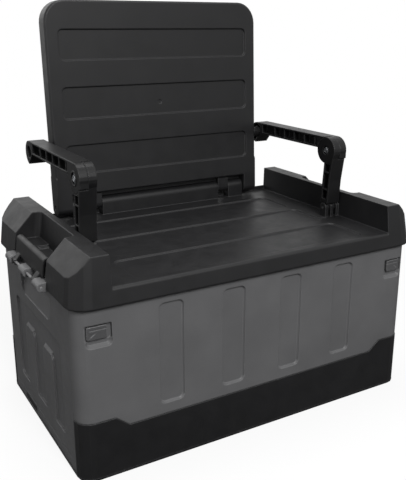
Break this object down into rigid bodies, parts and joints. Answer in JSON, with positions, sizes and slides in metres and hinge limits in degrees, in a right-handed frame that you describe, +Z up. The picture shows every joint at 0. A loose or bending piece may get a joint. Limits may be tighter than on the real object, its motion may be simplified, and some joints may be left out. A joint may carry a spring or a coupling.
{
  "type": "fishing seat box",
  "caption": "Storage box with a lift-off seat lid held by side clips, sliding corner bolts, and a fold-down backrest with linked armrests.",
  "frame": {"origin": "on the floor under the middle of the storage box, on the crossing of the ribs under the base tray", "axes": "+X along the box towards its right end as seen from the front, +Y towards the backrest, +Z up"},
  "size_m": [0.5956, 0.3601, 0.6137],
  "materials": {
    "black_plastic": "fine moulded grain",
    "grey_plastic": "fine moulded grain",
    "bright_steel": "zinc plated"
  },
  "bodies": {
    "box": {"base_tray": "black_plastic", "front_wall": "grey_plastic", "rear_wall": "grey_plastic", "left_end_wall": "grey_plastic", "right_end_wall": "grey_plastic", "left_clip_rod": "grey_plastic", "right_clip_rod": "grey_plastic"},
    "left_front_bolt": {"left_front_latch": "grey_plastic"},
    "right_front_bolt": {"right_front_latch": "grey_plastic"},
    "left_rear_bolt": {"left_rear_latch": "grey_plastic"},
    "right_rear_bolt": {"right_rear_latch": "grey_plastic"},
    "left_clip": {"left_lid_clip": "black_plastic"},
    "right_clip": {"right_lid_clip": "black_plastic"},
    "seat_lid": {"lid": "black_plastic", "backrest_pin": "bright_steel", "left_leg_pin": "bright_steel", "right_leg_pin": "bright_steel"},
    "backrest": {"backrest": "black_plastic", "left_arm_screw": "bright_steel", "right_arm_screw": "bright_steel", "left_arm_spacer": "black_plastic", "right_arm_spacer": "black_plastic"},
    "left_armrest": {"left_arm": "black_plastic", "left_elbow_screw": "bright_steel", "left_elbow_nut": "bright_steel"},
    "right_armrest": {"right_arm": "black_plastic", "right_elbow_screw": "bright_steel", "right_elbow_nut": "bright_steel"},
    "left_leg": {"left_leg": "black_plastic"},
    "right_leg": {"right_leg": "black_plastic"}
  },
  "joints": [
    {"name": "lid_lift", "type": "slide", "parent": "box", "child": "seat_lid", "axis": [0, 0, 1], "range_m": [0, 0.044]},
    {"name": "right_clip_swing", "type": "hinge", "parent": "box", "child": "right_clip", "pos_m": [0.2915, 0, 0.25], "axis": [0, 1, 0], "range_deg": [0, 170]},
    {"name": "left_clip_swing", "type": "hinge", "parent": "box", "child": "left_clip", "pos_m": [-0.2915, 0, 0.25], "axis": [0, -1, 0], "range_deg": [0, 170]},
    {"name": "left_front_bolt_slide", "type": "slide", "parent": "box", "child": "left_front_bolt", "axis": [1, 0, 0], "range_m": [0, 0.006]},
    {"name": "right_front_bolt_slide", "type": "slide", "parent": "box", "child": "right_front_bolt", "axis": [-1, 0, 0], "range_m": [0, 0.006]},
    {"name": "left_rear_bolt_slide", "type": "slide", "parent": "box", "child": "left_rear_bolt", "axis": [1, 0, 0], "range_m": [0, 0.006]},
    {"name": "right_rear_bolt_slide", "type": "slide", "parent": "box", "child": "right_rear_bolt", "axis": [-1, 0, 0], "range_m": [0, 0.006]},
    {"name": "backrest_fold", "type": "hinge", "parent": "seat_lid", "child": "backrest", "pos_m": [0, 0.159, 0.29], "axis": [1, 0, 0], "range_deg": [0, 86]},
    {"name": "left_armrest_turn", "type": "hinge", "parent": "backrest", "child": "left_armrest", "pos_m": [-0.215, 0.159, 0.386], "axis": [-1, 0, 0], "range_deg": [0, 86]},
    {"name": "right_armrest_turn", "type": "hinge", "parent": "backrest", "child": "right_armrest", "pos_m": [0.215, 0.159, 0.386], "axis": [-1, 0, 0], "range_deg": [0, 86]},
    {"name": "left_leg_fold", "type": "hinge", "parent": "seat_lid", "child": "left_leg", "pos_m": [-0.215, -0.043, 0.286], "axis": [1, 0, 0], "range_deg": [0, 86]},
    {"name": "right_leg_fold", "type": "hinge", "parent": "seat_lid", "child": "right_leg", "pos_m": [0.215, -0.043, 0.286], "axis": [1, 0, 0], "range_deg": [0, 86]}
  ],
  "couplings": [
    {"joint": "right_clip_swing", "follows": "lid_lift", "rad_per_m": 67.4},
    {"joint": "left_clip_swing", "follows": "lid_lift", "rad_per_m": 67.4},
    {"joint": "left_armrest_turn", "follows": "backrest_fold", "ratio": 1},
    {"joint": "right_armrest_turn", "follows": "backrest_fold", "ratio": 1},
    {"joint": "left_leg_fold", "follows": "backrest_fold", "ratio": 1},
    {"joint": "right_leg_fold", "follows": "backrest_fold", "ratio": 1}
  ]
}
